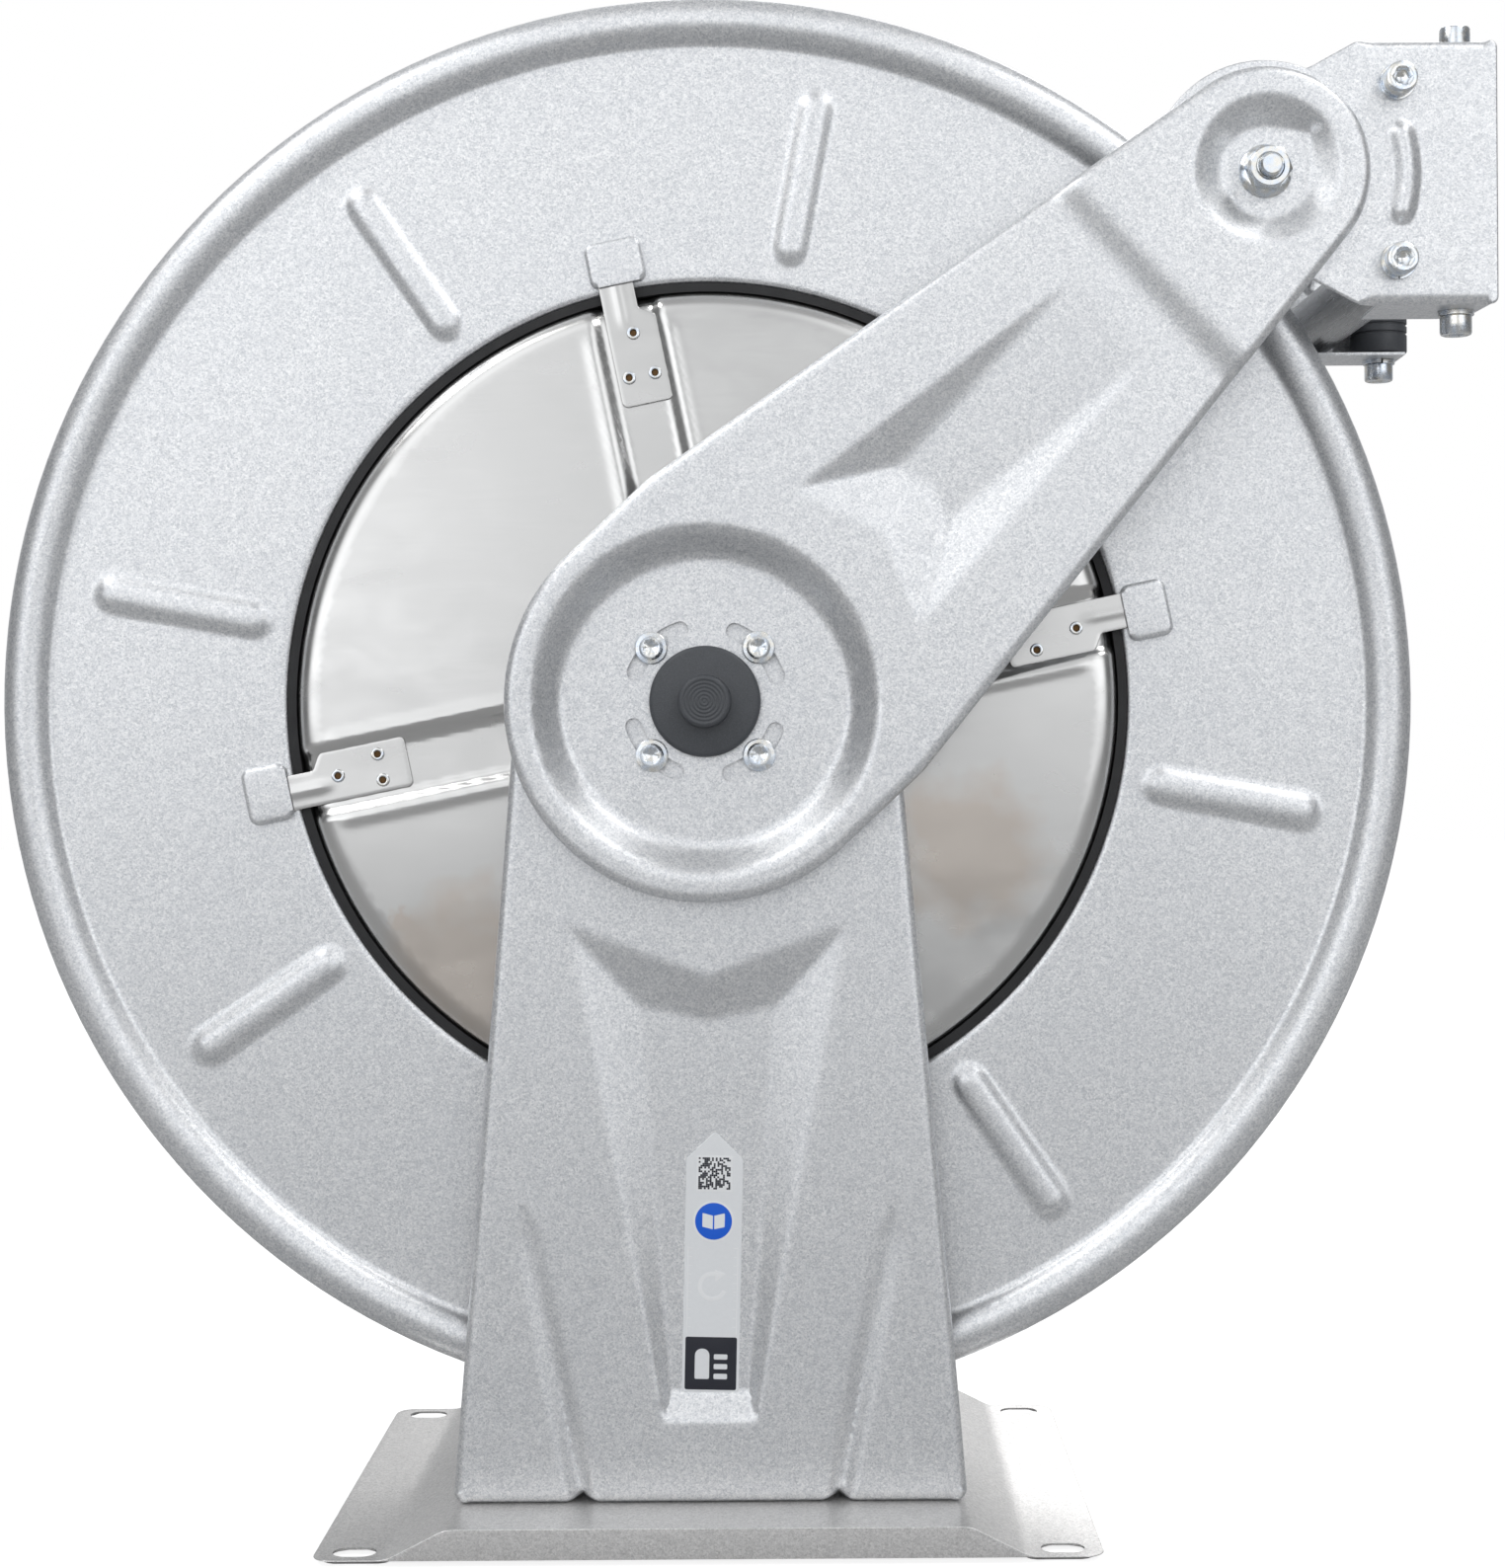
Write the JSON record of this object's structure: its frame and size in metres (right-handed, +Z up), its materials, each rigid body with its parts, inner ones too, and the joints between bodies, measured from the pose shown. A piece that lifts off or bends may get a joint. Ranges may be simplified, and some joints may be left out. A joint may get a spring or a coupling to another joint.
{
  "type": "hose reel",
  "caption": "Spring-rewind hose reel: a ribbed drum on a pressed-steel stand with slotted feet, a swinging guide arm and a tilting roller outlet.",
  "frame": {"origin": "centre of the four mounting slots, on the plane that the base's feet rest on", "axes": "+Z up, square to the mounting plane; +X towards the hose outlet; +Y along the drum's axis towards the inlet at the rear"},
  "size_m": [0.619, 0.2296, 0.638],
  "materials": {
    "silver_paint": "fine metallic silver paint, satin",
    "base_paint": "metallic silver paint, slightly warmer, satin",
    "case_steel": "bright rolled stainless sheet with faint brown staining",
    "zinc": "bright zinc plating",
    "dark_steel": "machined steel, oiled",
    "cast_hub": "die-cast, as cast",
    "spring_steel": "blued strip steel",
    "black_plastic": "moulded, satin",
    "black_rubber": "moulded",
    "bush_plastic": "natural acetal",
    "brass": "machined",
    "label_film": "printed vinyl film"
  },
  "bodies": {
    "root": {"base_plate": "base_paint", "front_upright": "silver_paint", "rear_upright": "silver_paint", "foot_screws": "zinc", "foot_nuts": "zinc", "label": "label_film", "front_hub_flange": "cast_hub", "rear_hub_flange": "cast_hub", "front_hub_screws": "zinc", "rear_hub_screws": "zinc", "hub_cap": "black_plastic", "axle": "dark_steel", "end_washer": "zinc", "end_screw": "zinc", "thrust_washers": "bush_plastic", "circlips": "dark_steel", "spring_arbor": "dark_steel", "inlet_fitting": "brass", "pawl_stud": "dark_steel", "pawl_clip": "dark_steel", "pawl_spring": "dark_steel"},
    "drum": {"front_disc": "silver_paint", "rear_disc": "silver_paint", "drum_shell": "silver_paint", "rear_web": "silver_paint", "web_screws": "zinc", "web_nuts": "zinc", "case_cover": "case_steel", "case_back": "case_steel", "seal_ring": "black_rubber", "case_clips": "case_steel", "clip_rivets": "zinc", "ratchet_wheel": "dark_steel", "ratchet_rivets": "zinc", "front_bush": "bush_plastic", "rear_bush": "bush_plastic", "mainspring": "spring_steel", "swivel_body": "brass", "swivel_seals": "black_rubber", "outlet_pipe": "brass", "hose_nipple": "brass"},
    "pawl": {"pawl": "dark_steel"},
    "arm": {"front_arm": "silver_paint", "rear_arm": "silver_paint", "tie_rod": "zinc", "tie_rod_nuts": "zinc"},
    "outlet": {"front_bracket": "silver_paint", "rear_bracket": "silver_paint", "spacer_tube": "zinc", "level_axles": "dark_steel", "side_axles": "dark_steel", "roller_screws": "zinc", "roller_washers": "zinc"},
    "upper_roller": {"upper_roller": "zinc"},
    "lower_roller": {"lower_roller": "zinc"},
    "front_side_roller": {"front_side_roller": "black_plastic"},
    "rear_side_roller": {"rear_side_roller": "black_plastic"}
  },
  "joints": [
    {"name": "drum_turn", "type": "hinge", "parent": "root", "child": "drum", "pos_m": [0, 0, 0.343], "axis": [0, -1, 0], "continuous": true, "deforming": ["mainspring"]},
    {"name": "pawl_swing", "type": "hinge", "parent": "root", "child": "pawl", "pos_m": [0, -0.0665, 0.245], "axis": [0, -1, 0], "range_deg": [0, 28], "stiffness_Nm_per_rad": 0.05, "springref_deg": -17.19},
    {"name": "arm_swing", "type": "hinge", "parent": "root", "child": "arm", "pos_m": [0, 0, 0.343], "axis": [0, -1, 0], "range_deg": [-22, 26]},
    {"name": "outlet_tilt", "type": "hinge", "parent": "arm", "child": "outlet", "pos_m": [0.22855, 0, 0.55612], "axis": [0, -1, 0], "range_deg": [-12, 45]},
    {"name": "upper_roller_spin", "type": "hinge", "parent": "outlet", "child": "upper_roller", "pos_m": [0.28255, 0, 0.59252], "axis": [0, -1, 0], "continuous": true},
    {"name": "lower_roller_spin", "type": "hinge", "parent": "outlet", "child": "lower_roller", "pos_m": [0.28255, 0, 0.51972], "axis": [0, -1, 0], "continuous": true},
    {"name": "front_side_roller_spin", "type": "hinge", "parent": "outlet", "child": "front_side_roller", "pos_m": [0.31105, -0.0684, 0.55612], "axis": [0, 0, 1], "continuous": true},
    {"name": "rear_side_roller_spin", "type": "hinge", "parent": "outlet", "child": "rear_side_roller", "pos_m": [0.31105, 0.0684, 0.55612], "axis": [0, 0, 1], "continuous": true}
  ]
}
